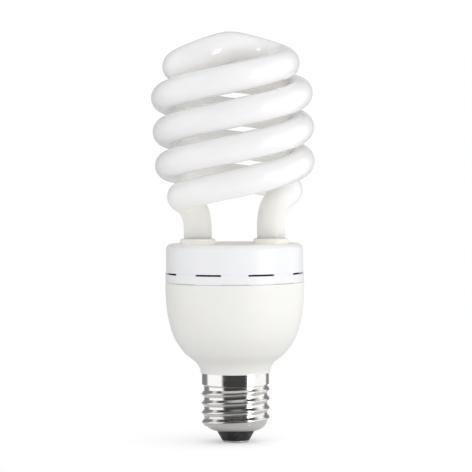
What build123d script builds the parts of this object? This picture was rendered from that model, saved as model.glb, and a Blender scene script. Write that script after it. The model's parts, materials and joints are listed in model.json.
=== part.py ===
from build123d import *
import os
from math import cos, pi, radians, sin

os.makedirs("parts", exist_ok=True)

# A spiral photography bulb with an E27 screw cap, standing on its centre contact.
# Millimetres, +Z up along the cap's axis, origin on the contact's flat face.
# The front of the bulb faces -Y, and +X is to its right.

# Screw cap, to the E27 standard
thread_pitch = 3.629
thread_crest_radius = 13.1
thread_root_radius = 12.15
thread_foot_half_width = 1.5
thread_crest_half_width = 0.5
thread_crest_rounding = 0.3
thread_first_height = 7.45
thread_turns = 3.8
thread_start_angle = 160
shell_wall = 0.3
shell_mouth_radius = 7.6
shell_mouth_height = 4.4
shell_curl_height = 7.6
shell_curl_middle = (10.4, 5.3)
shell_band_radius = 12.95
shell_band_height = 22.3
shell_top_height = 26.6

# Centre contact and the black glass that carries it
contact_radius = 5.05
contact_thickness = 0.6
contact_edge_radius = 0.3
contact_stud_radius = 1.6
contact_stud_height = 3.0
contact_bore_radius = 0.6
insulator_tip_radius = 5.3
insulator_top_height = 8.2
insulator_core_radius = 4.5

# Lower housing: a bowl on a stem that fills the screw shell
stem_radius = 11.8
stem_bottom_height = 8.6
stem_notch_height = 2.2
stem_clearance = 0.05
neck_radius = 13.4
neck_top_height = 27.4
bowl_outline = [(14.8, 30.2), (19.6, 34.5), (23.6, 40.6), (25.8, 48.3), (26.6, 54.4)]
bowl_rim_radius = 26.75
bowl_rim_height = 61.6
bowl_rim_rounding = 0.5
bowl_wall = 1.6
spigot_radius = 24.85
spigot_wall = 1.3
spigot_foot_height = 58.6
spigot_top_height = 63.4
ledge_count = 4
ledge_width = 3.0
ledge_length = 3.0
ledge_depth = 6.0

# Upper housing: a cap that snaps over the bowl's spigot
skirt_radius = 26.65
skirt_foot_rounding = 0.4
cap_wall_radius = 26.4
cap_inner_radius = 25.0
step_height = 65.5
roof_height = 76.4
roof_thickness = 2.0
roof_edge_radius = 2.2
snap_count = 8
snap_first_angle = 22.5
slot_angle = 23.0
slot_height = 0.7
slot_cut_length = 5.0
seam_gap_height = 0.25
hook_angle = 18.0
hook_top_height = 66.2
hook_nose_reach = 0.4
hook_nose_height = 0.35

# Collars that the two legs of the tube stand in
leg_offset = 14.1
collar_radius = 6.8
collar_height = 1.9
collar_edge_radius = 0.7
collar_hole_radius = 5.55

# Glass tube: a double helix that leans a little on its legs, as in the photograph
tube_radius = 5.4
coil_radius = 25.65
coil_pitch = 26.1
coil_turns = 2
coil_first_height = 94.2
coil_first_angle = 36
coil_step_angle = 36
coil_foot_radius = 23.9
coil_foot_span = 200
coil_top_radius = 20.5
coil_top_span = 119
coil_top_drop = 0.85
crossing_height = 152.45
crossing_turn = 45
crossing_fullness = 0.35
crossing_squeeze = 1.18
crossing_steps = 5
lean_pivot_height = 80.0
lean_shift = 1.35
lean_to_left = 2.1
lean_to_front = 2.2
leg_bottom_height = 69.0
leg_end_radius = 2.5
knee_height = {"left": 91.7, "right": 92.3}
knee_radius = 11.5
elbow_run = 5.2
elbow_radius = 5.9
cement_radius = 8.2
cement_height = 3.0

# Ballast board and the parts it carries
board_radius = 23.2
board_thickness = 1.6
board_top_height = 56.6
board_hole_radius = 0.45
lead_radius = 0.3
lead_stub = 1.0
tube_lead_radius = 0.25
supply_wire_radius = 0.7
supply_wire_bend = 3.0
post_width = 0.8
post_height = 6.0

board_bottom_height = board_top_height - board_thickness
roof_underside = roof_height - roof_thickness
snap_angle = 360 / snap_count
inner_shell_radius = thread_root_radius - shell_wall
band_inner_radius = shell_band_radius - shell_wall
stem_band_radius = band_inner_radius - stem_clearance
sides = {"left": -1, "right": 1}
lead_points = []


def write(piece, name):
    """Labels a finished piece and writes it as its own file."""
    piece.part.label = name
    export_step(piece.part, f"parts/{name}.step")


def ring_sketch(outer_radius, inner_radius):
    """A flat ring in the open sketch."""
    Circle(outer_radius)
    Circle(inner_radius, mode=Mode.SUBTRACT)


def hanging_leads(*points, length=2.0):
    """Wires from under the board, through its holes and a stub beyond."""
    lead_points.extend(points)
    with BuildSketch(Plane.XY.offset(board_top_height + lead_stub)) as sections:
        with Locations(*points):
            Circle(lead_radius)
    extrude(sections.sketch, amount=-(board_thickness + lead_stub + length))


def standing_leads(*points, length=2.0):
    """Wires from above the board, through its holes and a stub beyond."""
    lead_points.extend(points)
    with BuildSketch(Plane.XY.offset(board_bottom_height - lead_stub)) as sections:
        with Locations(*points):
            Circle(lead_radius)
    extrude(sections.sketch, amount=board_thickness + lead_stub + length)


def round_sweep(path, radius):
    """Sweeps a round section along a path from the path's own start."""
    with BuildSketch(Plane(origin=path @ 0, z_dir=path % 0)) as section:
        Circle(radius)
    sweep(section.sketch, path=path)


# Screw shell: rolled sheet with a curled mouth, a knuckle thread and a plain band
curl_start = (shell_mouth_radius, shell_mouth_height)
curl_end = (thread_root_radius, shell_curl_height)
inner_curl_start = (shell_mouth_radius, shell_mouth_height + shell_wall)
inner_curl_middle = (shell_curl_middle[0] - shell_wall / 2, shell_curl_middle[1] + shell_wall)
inner_curl_end = (inner_shell_radius, shell_curl_height + shell_wall / 2)
with BuildPart() as screw_shell:
    with BuildSketch(Plane.XZ):
        with BuildLine():
            ThreePointArc(curl_start, shell_curl_middle, curl_end)
            Polyline(
                curl_end,
                (thread_root_radius, shell_band_height - 2 * shell_wall),
                (shell_band_radius, shell_band_height),
                (shell_band_radius, shell_top_height),
                (band_inner_radius, shell_top_height),
                (band_inner_radius, shell_band_height + shell_wall),
                (inner_shell_radius, shell_band_height - shell_wall),
                inner_curl_end,
            )
            ThreePointArc(inner_curl_end, inner_curl_middle, inner_curl_start)
            Line(inner_curl_start, curl_start)
        make_face()
    revolve(axis=Axis.Z)
    with BuildLine() as thread_line:
        Helix(
            pitch=thread_pitch,
            height=thread_turns * thread_pitch,
            radius=thread_root_radius,
            center=(0, 0, thread_first_height),
        )
    thread_start = thread_line.line @ 0
    with BuildSketch(Plane(origin=thread_start, x_dir=(1, 0, 0), z_dir=thread_line.line % 0)):
        with BuildLine():
            rise = thread_crest_radius - thread_root_radius
            foot = -shell_wall / 3
            flank_top = rise - thread_crest_rounding
            Line((foot, -thread_foot_half_width), (flank_top, -thread_crest_half_width))
            ThreePointArc(
                (flank_top, -thread_crest_half_width), (rise, 0), (flank_top, thread_crest_half_width)
            )
            Polyline(
                (flank_top, thread_crest_half_width),
                (foot, thread_foot_half_width),
                (foot, -thread_foot_half_width),
            )
        make_face()
    sweep(path=thread_line.line, is_frenet=True)
screw_shell.part = Rot(0, 0, thread_start_angle) * screw_shell.part
write(screw_shell, "screw_shell")

# Centre contact: a tin disc with a hollow stud
with BuildPart() as centre_contact:
    with BuildSketch():
        Circle(contact_radius)
    extrude(amount=contact_thickness)
    fillet(centre_contact.edges().group_by(Axis.Z)[0], contact_edge_radius)
    with BuildSketch(Plane.XY.offset(contact_thickness)):
        Circle(contact_stud_radius)
    extrude(amount=contact_stud_height)
    with BuildSketch(Plane.XY.offset(contact_thickness + contact_stud_height)):
        Circle(contact_bore_radius)
    extrude(amount=-contact_stud_height, mode=Mode.SUBTRACT)
write(centre_contact, "centre_contact")

# Cap insulator: black glass, a cone outside the shell's mouth and a plug inside it
with BuildPart() as cap_insulator:
    with BuildSketch(Plane.XZ):
        with BuildLine():
            Polyline(
                (insulator_core_radius, insulator_top_height),
                (contact_stud_radius, contact_thickness + contact_stud_height),
                (contact_stud_radius, contact_thickness),
                (insulator_tip_radius, contact_thickness),
                inner_curl_start,
            )
            ThreePointArc(inner_curl_start, inner_curl_middle, inner_curl_end)
            Polyline(
                inner_curl_end,
                (stem_radius - bowl_wall, insulator_top_height),
                (insulator_core_radius, insulator_top_height),
            )
        make_face()
    revolve(axis=Axis.Z)
write(cap_insulator, "cap_insulator")

# Lower housing: stem, neck and bowl in one wall, with a spigot, snap hooks and ledges
with BuildPart() as lower_housing:
    with BuildSketch(Plane.XZ):
        with BuildLine():
            bowl_curve = Spline(
                (neck_radius, neck_top_height),
                *bowl_outline,
                (bowl_rim_radius, bowl_rim_height),
                tangents=((0, 1), (0, 1)),
            )
            Polyline(
                (neck_radius, neck_top_height),
                (neck_radius, shell_top_height + stem_clearance),
                (stem_band_radius, shell_top_height + stem_clearance),
                (stem_band_radius, shell_band_height + 4 * shell_wall),
                (stem_radius, shell_band_height + 2 * shell_wall),
                (stem_radius, stem_bottom_height),
                (0, stem_bottom_height),
                (0, bowl_rim_height),
                (bowl_rim_radius, bowl_rim_height),
            )
        make_face()
    revolve(axis=Axis.Z)
    top_face = lower_housing.faces().sort_by(Axis.Z)[-1]
    stem_face = lower_housing.faces().sort_by(Axis.Z)[0]
    offset(amount=-bowl_wall, openings=[top_face, stem_face])
    rim_edges = lower_housing.edges().group_by(Axis.Z)[-1]
    fillet(rim_edges.sort_by(SortBy.LENGTH)[-1], bowl_rim_rounding)
    with BuildSketch(Plane.XY.offset(spigot_foot_height)):
        ring_sketch(bowl_rim_radius - bowl_wall / 2, spigot_radius - spigot_wall)
    extrude(amount=bowl_rim_height - spigot_foot_height)
    with BuildSketch(Plane.XY.offset(bowl_rim_height)):
        ring_sketch(spigot_radius, spigot_radius - spigot_wall)
    extrude(amount=spigot_top_height - bowl_rim_height)
    # Eight tongues above the spigot, each with a nose that catches in a slot of the cap
    with BuildSketch(Plane.XY.offset(spigot_top_height)):
        ring_sketch(spigot_radius, spigot_radius - spigot_wall)
    extrude(amount=hook_top_height - spigot_top_height)
    with BuildSketch(Plane.XY.offset(step_height - slot_height)):
        ring_sketch(spigot_radius + hook_nose_reach, spigot_radius - spigot_wall)
    extrude(amount=hook_nose_height)
    notch_width = 2 * spigot_radius * sin(radians((snap_angle - hook_angle) / 2))
    with BuildSketch(Plane.XY.offset(spigot_top_height)):
        with PolarLocations(spigot_radius, snap_count):
            Rectangle(4 * spigot_wall, notch_width)
    extrude(amount=hook_top_height - spigot_top_height, mode=Mode.SUBTRACT)
    # Notch in the stem's end that lets the supply wire out to the shell
    with BuildSketch(Plane.XY.offset(stem_bottom_height)):
        with Locations((0, stem_radius)):
            Rectangle(2 * supply_wire_radius + 0.6, 3 * bowl_wall)
    extrude(amount=stem_notch_height, mode=Mode.SUBTRACT)
    # Ledges inside the bowl that the board rests on
    with BuildSketch(Plane.XY.offset(board_bottom_height - ledge_depth)):
        with PolarLocations(board_radius, ledge_count, 45):
            Rectangle(ledge_length, ledge_width)
    extrude(amount=ledge_depth)
write(lower_housing, "lower_housing")

# Upper housing: skirt, wall and roof, eight snap slots, seam gaps and two leg collars
slot_width = 2 * cap_wall_radius * sin(radians(slot_angle / 2))
gap_width = 2 * cap_wall_radius * sin(radians(snap_angle / 4))
with BuildPart() as upper_housing:
    with BuildSketch(Plane.XZ):
        with BuildLine():
            Polyline(
                (0, bowl_rim_height),
                (skirt_radius, bowl_rim_height),
                (skirt_radius, step_height),
                (cap_wall_radius, step_height),
                (cap_wall_radius, roof_height),
                (0, roof_height),
                (0, bowl_rim_height),
            )
        make_face()
    revolve(axis=Axis.Z)
    outline_rings = upper_housing.edges().filter_by(GeomType.CIRCLE).group_by(Axis.Z)
    fillet(outline_rings[-1], roof_edge_radius)
    fillet(upper_housing.edges().filter_by(GeomType.CIRCLE).group_by(Axis.Z)[0], skirt_foot_rounding)
    with BuildSketch(Plane.XY.offset(bowl_rim_height)):
        Circle(cap_inner_radius)
    extrude(amount=roof_underside - bowl_rim_height, mode=Mode.SUBTRACT)
    with BuildSketch(Plane.XY.offset(roof_height)):
        with GridLocations(2 * leg_offset, 0, 2, 1):
            Circle(collar_radius)
    extrude(amount=collar_height)
    fillet(upper_housing.edges().filter_by(GeomType.CIRCLE).group_by(Axis.Z)[-1], collar_edge_radius)
    with BuildSketch(Plane.XY.offset(roof_underside)):
        with GridLocations(2 * leg_offset, 0, 2, 1):
            Circle(collar_hole_radius)
    extrude(amount=roof_thickness + collar_height, mode=Mode.SUBTRACT)
    # Snap slots just under the step
    with BuildSketch(Plane.XY.offset(step_height)):
        with PolarLocations(cap_wall_radius, snap_count, snap_first_angle):
            Rectangle(slot_cut_length, slot_width)
    extrude(amount=-slot_height, mode=Mode.SUBTRACT)
    # Shallow gaps along the seam, so that the skirt rests on eight feet
    with BuildSketch(Plane.XY.offset(bowl_rim_height)):
        with PolarLocations(cap_wall_radius, snap_count):
            Rectangle(slot_cut_length, gap_width)
    extrude(amount=seam_gap_height, mode=Mode.SUBTRACT)
write(upper_housing, "upper_housing")

# Glass tube, from one leg up a strand, over the crossing and down the other strand
coil_last_angle = 360 * coil_turns
coil_top_height = coil_first_height + coil_turns * coil_pitch - coil_top_drop
lean = (
    Pos(lean_shift, 0, lean_pivot_height)
    * Rot(lean_to_front, -lean_to_left, 0)
    * Pos(0, 0, -lean_pivot_height)
)


def coil_point(angle):
    """Centre of the upright tube at an angle round the coil from a strand's own leg."""
    low = ease((coil_first_angle + coil_foot_span - angle) / coil_foot_span)
    high = max((angle - coil_last_angle + coil_top_span) / coil_top_span, 0)
    radius = coil_radius - (coil_radius - coil_foot_radius) * low
    radius -= (coil_radius - coil_top_radius) * ease(high)
    height = coil_first_height + coil_pitch * angle / 360 - coil_top_drop * high**2
    return (radius * cos(radians(angle)), radius * sin(radians(angle)), height)


def crossing_point(share):
    """Centre of the upright tube between the crossing, at share 0, and the coil's top, at 1."""
    angle = coil_last_angle + crossing_turn * (1 - share**2)
    radius = coil_top_radius * sin(pi * share / 2) ** crossing_squeeze
    fall = crossing_fullness * share**2 + (1 - crossing_fullness) * ease(share)
    height = crossing_height - (crossing_height - coil_top_height) * fall
    return (radius * cos(radians(angle)), radius * sin(radians(angle)), height)


def ease(share):
    """A step from 0 to 1 that starts and ends level."""
    share = min(max(share, 0), 1)
    return share * share * (3 - 2 * share)


def strand(side):
    """Points of one strand in the leaning coil, from its foot to just before the crossing."""
    angles = range(coil_first_angle, coil_last_angle + 1, coil_step_angle)
    upright = [coil_point(angle) for angle in angles]
    upright += [crossing_point(1 - step / crossing_steps) for step in range(1, crossing_steps)]
    sign = sides[side]
    return [(lean * Pos(sign * x, sign * y, z)).position for x, y, z in upright]


crossing_middle = (lean * Pos(*crossing_point(0))).position
with BuildLine() as tube_line:
    coil_line = Spline(*strand("right"), crossing_middle, *reversed(strand("left")))
    strand_ends = {
        "right": (coil_line @ 0, coil_line % 0),
        "left": (coil_line @ 1, -(coil_line % 1)),
    }
    for side, (start, heading) in strand_ends.items():
        leg_x = sides[side] * leg_offset
        FilletPolyline(
            (leg_x, 0, leg_bottom_height),
            (leg_x, 0, knee_height[side]),
            start - heading * elbow_run,
            start,
            radius=[knee_radius, elbow_radius],
        )
tube_path = Wire(tube_line.edges())
with BuildPart() as glass_tube:
    round_sweep(tube_path, tube_radius)
    fillet(glass_tube.edges().group_by(Axis.Z)[0], leg_end_radius)
write(glass_tube, "glass_tube")
print("tube length", round(tube_path.length, 1))
print("tube volume over section times length", glass_tube.part.volume / (pi * tube_radius**2 * tube_path.length))

# Cement that holds each leg under the roof
for side, sign in sides.items():
    with BuildPart() as tube_cement:
        with BuildSketch(Plane.XY.offset(roof_underside)):
            with Locations((sign * leg_offset, 0)):
                ring_sketch(cement_radius, tube_radius)
        extrude(amount=-cement_height)
        fillet(tube_cement.edges().group_by(Axis.Z)[0].sort_by(SortBy.RADIUS)[-1], 1.2)
    write(tube_cement, f"tube_cement_{side}")

# Filter capacitor: a can that hangs into the bowl, with a rolled groove near its foot
with BuildPart() as filter_capacitor:
    with BuildSketch(Plane.XZ):
        with BuildLine():
            Polyline((0, 33.6), (5.7, 33.6), (6.25, 34.2), (6.25, 51.2), (5.8, 51.7), (6.25, 52.2))
            Polyline((6.25, 52.2), (6.25, 54.0), (0, 54.0), (0, 33.6))
        make_face()
    revolve(axis=Axis.Z)
    hanging_leads((-2.5, 0), (2.5, 0), length=1.5)
write(filter_capacitor, "filter_capacitor")

# Choke: an E-shaped ferrite core, a bobbin on its middle leg and the winding
choke_x = -13.6
with BuildPart() as choke_bobbin:
    with BuildSketch(Plane.XY.offset(42.2)):
        with Locations((choke_x, 0)):
            Rectangle(9.6, 11.0)
            Rectangle(4.1, 4.6, mode=Mode.SUBTRACT)
    extrude(amount=0.8)
    with BuildSketch(Plane.XY.offset(43.0)):
        with Locations((choke_x, 0)):
            Rectangle(5.6, 6.1)
            Rectangle(4.1, 4.6, mode=Mode.SUBTRACT)
    extrude(amount=7.4)
    with BuildSketch(Plane.XY.offset(50.4)):
        with Locations((choke_x, 0)):
            Rectangle(9.6, 11.0)
            Rectangle(4.1, 4.6, mode=Mode.SUBTRACT)
    extrude(amount=0.8)
    hanging_leads((choke_x - 3.8, -4.6), (choke_x + 3.8, 4.6), length=board_bottom_height - 51.2)
write(choke_bobbin, "choke_bobbin")

with BuildPart() as choke_winding:
    with BuildSketch(Plane.XY.offset(43.0)):
        with Locations((choke_x, 0)):
            RectangleRounded(8.8, 9.6, 2.0)
            Rectangle(5.6, 6.1, mode=Mode.SUBTRACT)
    extrude(amount=7.4)
write(choke_winding, "choke_winding")

with BuildPart() as choke_core:
    with BuildSketch(Plane.XZ.offset(-2.2)):
        with Locations((choke_x, 46.7)):
            Rectangle(13.6, 12.6)
            Rectangle(9.7, 9.1, mode=Mode.SUBTRACT)
            Rectangle(4.0, 9.2)
    extrude(amount=4.4)
write(choke_core, "choke_core")

# Drive transformer: a ferrite ring on its side and three short windings
ring_x, ring_z = 13.5, 49.4
ring_outer, ring_inner, ring_width = 4.8, 2.6, 3.2
with BuildPart() as ring_core:
    with BuildSketch(Plane.XZ.offset(-ring_width / 2)):
        with Locations((ring_x, ring_z)):
            ring_sketch(ring_outer, ring_inner)
    extrude(amount=ring_width)
write(ring_core, "ring_core")

ring_depth = (ring_outer - ring_inner) / 2
ring_middle = (ring_outer + ring_inner) / 2
with BuildPart() as ring_windings:
    for centre_angle in (90, 210, 330):
        for turn_angle in (centre_angle - 15, centre_angle, centre_angle + 15):
            spoke = Vector(1, 0, 0).rotate(Axis.Y, -turn_angle)
            origin = Vector(ring_x, 0, ring_z) + spoke * ring_middle
            with BuildSketch(Plane(origin=origin, x_dir=spoke, z_dir=spoke.cross(Vector(0, 1, 0)))):
                Rectangle(2 * ring_depth + 1.0, ring_width + 1.0)
                Rectangle(2 * ring_depth + 0.1, ring_width + 0.1, mode=Mode.SUBTRACT)
            extrude(amount=0.25, both=True)
    hanging_leads((ring_x - 1.5, 2.1), (ring_x + 1.5, -2.1), length=board_bottom_height - ring_z - 2.0)
write(ring_windings, "ring_windings")

# Two switching transistors on three legs each
for side, sign in {"front": -1, "back": 1}.items():
    transistor_y = sign * 12.0
    with BuildPart() as transistor:
        with BuildSketch(Plane.XY.offset(41.0)):
            with Locations((9.0, transistor_y)):
                Rectangle(8.0, 2.8)
        extrude(amount=11.0)
        chamfer(transistor.edges().group_by(Axis.Z)[0].filter_by(Axis.X), 0.5)
        with BuildSketch(Plane.XZ.offset(-transistor_y - 2)):
            with Locations((9.0, 44.6)):
                Circle(1.6)
        extrude(amount=4.0, mode=Mode.SUBTRACT)
        hanging_leads(
            *[(9.0 + step, transistor_y) for step in (-2.3, 0, 2.3)],
            length=board_bottom_height - 52.0,
        )
    write(transistor, f"transistor_{side}")

# Resonance capacitor: a dipped film block
with BuildPart() as film_capacitor:
    with BuildSketch(Plane.XY.offset(45.4)):
        with Locations((-4.5, 15.0)):
            RectangleRounded(12.0, 5.0, 2.0)
    extrude(amount=8.6)
    fillet(film_capacitor.edges().group_by(Axis.Z)[0], 1.4)
    hanging_leads((-9.0, 15.0), (0.0, 15.0), length=1.2)
write(film_capacitor, "film_capacitor")

# Line inductor: a ferrite drum with a winding in its waist
drum_x, drum_y = -4.0, -15.0
with BuildPart() as inductor_drum:
    with BuildSketch(Plane.XZ.offset(-drum_y)):
        with BuildLine():
            Polyline(
                (drum_x, 44.0), (drum_x + 4.0, 44.0), (drum_x + 4.0, 45.4), (drum_x + 1.8, 45.4)
            )
            Polyline(
                (drum_x + 1.8, 45.4), (drum_x + 1.8, 51.6), (drum_x + 4.0, 51.6), (drum_x + 4.0, 53.0)
            )
            Polyline((drum_x + 4.0, 53.0), (drum_x, 53.0), (drum_x, 44.0))
        make_face()
    revolve(axis=Axis((drum_x, drum_y, 0), (0, 0, 1)))
    hanging_leads((drum_x - 2.5, drum_y), (drum_x + 2.5, drum_y), length=board_bottom_height - 53.0)
write(inductor_drum, "inductor_drum")

with BuildPart() as inductor_winding:
    with BuildSketch(Plane.XY.offset(45.4)):
        with Locations((drum_x, drum_y)):
            ring_sketch(3.5, 1.8)
    extrude(amount=6.2)
write(inductor_winding, "inductor_winding")

# Four rectifier diodes lie on top of the board
diode_height = board_top_height + 1.35
for number in range(4):
    diode_x = -6.0 + 4.0 * number
    with BuildPart() as diode:
        with BuildSketch(Plane.XZ.offset(-10.0)):
            with Locations((diode_x, diode_height)):
                Circle(1.35)
        extrude(amount=5.2)
        with BuildLine() as diode_lead:
            FilletPolyline(
                (diode_x, 12.0, board_bottom_height - lead_stub),
                (diode_x, 12.0, diode_height),
                (diode_x, 2.8, diode_height),
                (diode_x, 2.8, board_bottom_height - lead_stub),
                radius=0.6,
            )
        round_sweep(diode_lead.line, lead_radius)
    lead_points.extend([(diode_x, 12.0), (diode_x, 2.8)])
    write(diode, f"rectifier_diode_{number + 1}")

# Fusible resistor in the supply line
resistor_height = board_top_height + 2.0
with BuildPart() as fusible_resistor:
    with BuildSketch(Plane.YZ.offset(-5.0)):
        with Locations((-8.0, resistor_height)):
            Circle(1.9)
    extrude(amount=10.0)
    fillet(fusible_resistor.edges(), 0.6)
    with BuildLine() as resistor_lead:
        FilletPolyline(
            (-7.5, -8.0, board_bottom_height - lead_stub),
            (-7.5, -8.0, resistor_height),
            (7.5, -8.0, resistor_height),
            (7.5, -8.0, board_bottom_height - lead_stub),
            radius=0.8,
        )
    round_sweep(resistor_lead.line, lead_radius)
lead_points.extend([(-7.5, -8.0), (7.5, -8.0)])
write(fusible_resistor, "fusible_resistor")

# Thermistor disc that warms the electrodes before the lamp strikes
with BuildPart() as thermistor:
    with BuildSketch(Plane.XZ.offset(16.0)):
        with Locations((0, 62.0)):
            Circle(3.5)
    extrude(amount=2.2)
    fillet(thermistor.edges(), 0.5)
    standing_leads((-2.0, -17.1), (2.0, -17.1), length=3.0)
write(thermistor, "thermistor")

# Start capacitor, a small film block
with BuildPart() as start_capacitor:
    with BuildSketch(Plane.XY.offset(board_top_height + 1.0)):
        with Locations((0, 17.5)):
            RectangleRounded(7.2, 3.0, 1.2)
    extrude(amount=6.5)
    fillet(start_capacitor.edges().group_by(Axis.Z)[-1], 0.7)
    standing_leads((-2.5, 17.5), (2.5, 17.5), length=1.4)
write(start_capacitor, "start_capacitor")

# Four posts on the board and the bare leads of the tube wrapped on them
post_x, post_y = 17.6, 7.0
lead_start_offset = 2.0
for side, sign in sides.items():
    for end, way in {"front": -1, "back": 1}.items():
        with BuildPart() as wire_post:
            with BuildSketch(Plane.XY.offset(board_bottom_height - lead_stub)):
                with Locations((sign * post_x, way * post_y)):
                    Rectangle(post_width, post_width)
            extrude(amount=board_thickness + lead_stub + post_height)
        write(wire_post, f"wire_post_{side}_{end}")
        with BuildPart() as tube_lead:
            with BuildLine() as lead_line:
                lead_x = sign * leg_offset
                FilletPolyline(
                    (lead_x, way * lead_start_offset, leg_bottom_height),
                    (lead_x, way * lead_start_offset, leg_bottom_height - 3.0),
                    (sign * post_x, way * (post_y - 2.5), board_top_height + 4.0),
                    (sign * post_x, way * (post_y - post_width / 2), board_top_height + 4.0),
                    radius=1.2,
                )
            round_sweep(lead_line.line, tube_lead_radius)
        write(tube_lead, f"tube_lead_{side}_{end}")

# Supply wires: one to the centre contact, one under the stem's end to the shell
with BuildPart() as contact_wire:
    with BuildLine() as contact_line:
        FilletPolyline(
            (0, -8.6, board_bottom_height),
            (0, -8.6, 30.0),
            (0, 0, 22.0),
            (0, 0, contact_thickness + contact_stud_height),
            radius=supply_wire_bend,
        )
    round_sweep(contact_line.line, supply_wire_radius)
    with BuildSketch(Plane.XY.offset(contact_thickness + contact_stud_height)):
        Circle(contact_bore_radius - 0.1)
    extrude(amount=-contact_stud_height + 0.1)
write(contact_wire, "contact_wire")

with BuildPart() as shell_wire:
    with BuildLine() as shell_line:
        FilletPolyline(
            (0, 8.6, board_bottom_height),
            (0, 8.6, stem_bottom_height + 1.1),
            (0, inner_shell_radius - 0.05, stem_bottom_height + 1.1),
            radius=1.5,
        )
    round_sweep(shell_line.line, supply_wire_radius)
write(shell_wire, "shell_wire")

# Ballast board: a round board with a hole for every lead and post
with BuildPart() as ballast_board:
    with BuildSketch(Plane.XY.offset(board_bottom_height)):
        Circle(board_radius)
        with Locations(*lead_points):
            Circle(board_hole_radius, mode=Mode.SUBTRACT)
        with GridLocations(2 * post_x, 2 * post_y, 2, 2):
            Rectangle(post_width + 0.1, post_width + 0.1, mode=Mode.SUBTRACT)
    extrude(amount=board_thickness)
write(ballast_board, "ballast_board")
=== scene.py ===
"""Looks of a spiral photography bulb with a screw cap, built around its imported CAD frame.

Everything is in metres in the frame's own axes: +Z runs up the cap's axis towards the tube,
-Y faces the camera of the photograph and the origin is at the foot of the centre contact.
"""

import json
import logging
from dataclasses import dataclass, field
from enum import Enum
from math import cos, pi, radians, sin, tan
from typing import Iterable, Union

import bpy
from mathutils import Matrix, Vector


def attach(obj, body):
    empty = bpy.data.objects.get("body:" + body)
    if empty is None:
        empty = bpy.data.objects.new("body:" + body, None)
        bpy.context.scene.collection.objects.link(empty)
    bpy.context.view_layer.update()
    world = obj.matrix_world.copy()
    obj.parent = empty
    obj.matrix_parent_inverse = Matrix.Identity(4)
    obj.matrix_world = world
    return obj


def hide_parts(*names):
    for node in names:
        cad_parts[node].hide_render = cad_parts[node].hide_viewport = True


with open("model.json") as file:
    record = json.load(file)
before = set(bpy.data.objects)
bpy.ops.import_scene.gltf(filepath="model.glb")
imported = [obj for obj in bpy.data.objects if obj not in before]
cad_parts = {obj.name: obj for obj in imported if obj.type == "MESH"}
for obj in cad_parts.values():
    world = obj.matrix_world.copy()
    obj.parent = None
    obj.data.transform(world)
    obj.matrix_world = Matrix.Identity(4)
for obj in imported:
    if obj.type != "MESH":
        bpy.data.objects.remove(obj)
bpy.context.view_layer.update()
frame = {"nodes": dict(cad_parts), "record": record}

MM = 0.001
WELD = 0.001 * MM
CREASE_ANGLE = 30.0
log = logging.getLogger("bulb")

Span = tuple[float, float]
Triple = tuple[float, float, float]
Colour = Triple
WHITE: Colour = (1.0, 1.0, 1.0)
BLACK: Colour = (0.0, 0.0, 0.0)


# Node graphs


class Reading:
    """A number in a shader that adds its own Math nodes when it is used in an expression."""

    def __init__(self, graph: "NodeGraph", socket: bpy.types.NodeSocket) -> None:
        """Wraps a socket.

        Args:
            graph: The graph that the socket belongs to.
            socket: The output that gives the number.
        """
        self.graph = graph
        self.socket = socket

    def _math(self, operation: str, *terms: "Term") -> "Reading":
        """Adds one Math node.

        Args:
            operation: The node's operation.
            terms: Its inputs, in order.

        Returns:
            The node's result.
        """
        sockets = dict(enumerate(terms))
        node = self.graph.add("ShaderNodeMath", {"operation": operation}, sockets)
        return Reading(self.graph, node.outputs[0])

    def __add__(self, other: "Term") -> "Reading":
        """Sum."""
        return self._math("ADD", self, other)

    __radd__ = __add__

    def __mul__(self, other: "Term") -> "Reading":
        """Product."""
        return self._math("MULTIPLY", self, other)

    __rmul__ = __mul__

    def __sub__(self, other: "Term") -> "Reading":
        """Difference."""
        return self._math("SUBTRACT", self, other)

    def __rsub__(self, other: "Term") -> "Reading":
        """Difference from a plain number."""
        return self._math("SUBTRACT", other, self)

    def __pow__(self, other: "Term") -> "Reading":
        """Power."""
        return self._math("POWER", self, other)

    def larger(self, other: "Term") -> "Reading":
        """The larger of two numbers."""
        return self._math("MAXIMUM", self, other)

    def sine(self) -> "Reading":
        """Sine of an angle in radians."""
        return self._math("SINE", self)

    def size(self) -> "Reading":
        """The number without its sign."""
        return self._math("ABSOLUTE", self)

    def distance(self, other: "Reading") -> "Reading":
        """Length of the flat vector that has this number and another as its components."""
        return (self * self + other * other) ** 0.5

    def heading(self, ahead: "Term") -> "Reading":
        """Angle in degrees of a direction, from ahead towards this number's axis."""
        return self._math("ARCTAN2", self, ahead) * (180 / pi)

    def between(self, low: "Term", high: "Term") -> "Reading":
        """The first number where this one is 0, and the second where it is 1."""
        return low + (high - low) * self

    def rising(self, span: Span) -> "Reading":
        """A smooth step.

        Args:
            span: Where the step is still 0, and where it has reached 1.

        Returns:
            A number from 0 to 1.
        """
        node = self.graph.add(
            "ShaderNodeMapRange",
            {"interpolation_type": "SMOOTHSTEP"},
            {0: self, 1: span[0], 2: span[1], 3: 0.0, 4: 1.0},
        )
        return Reading(self.graph, node.outputs[0])

    def falling(self, span: Span) -> "Reading":
        """A smooth step down, from 1 at the start of a span to 0 at its end."""
        return 1.0 - self.rising(span)


Term = Union[Reading, float, int]


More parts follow.
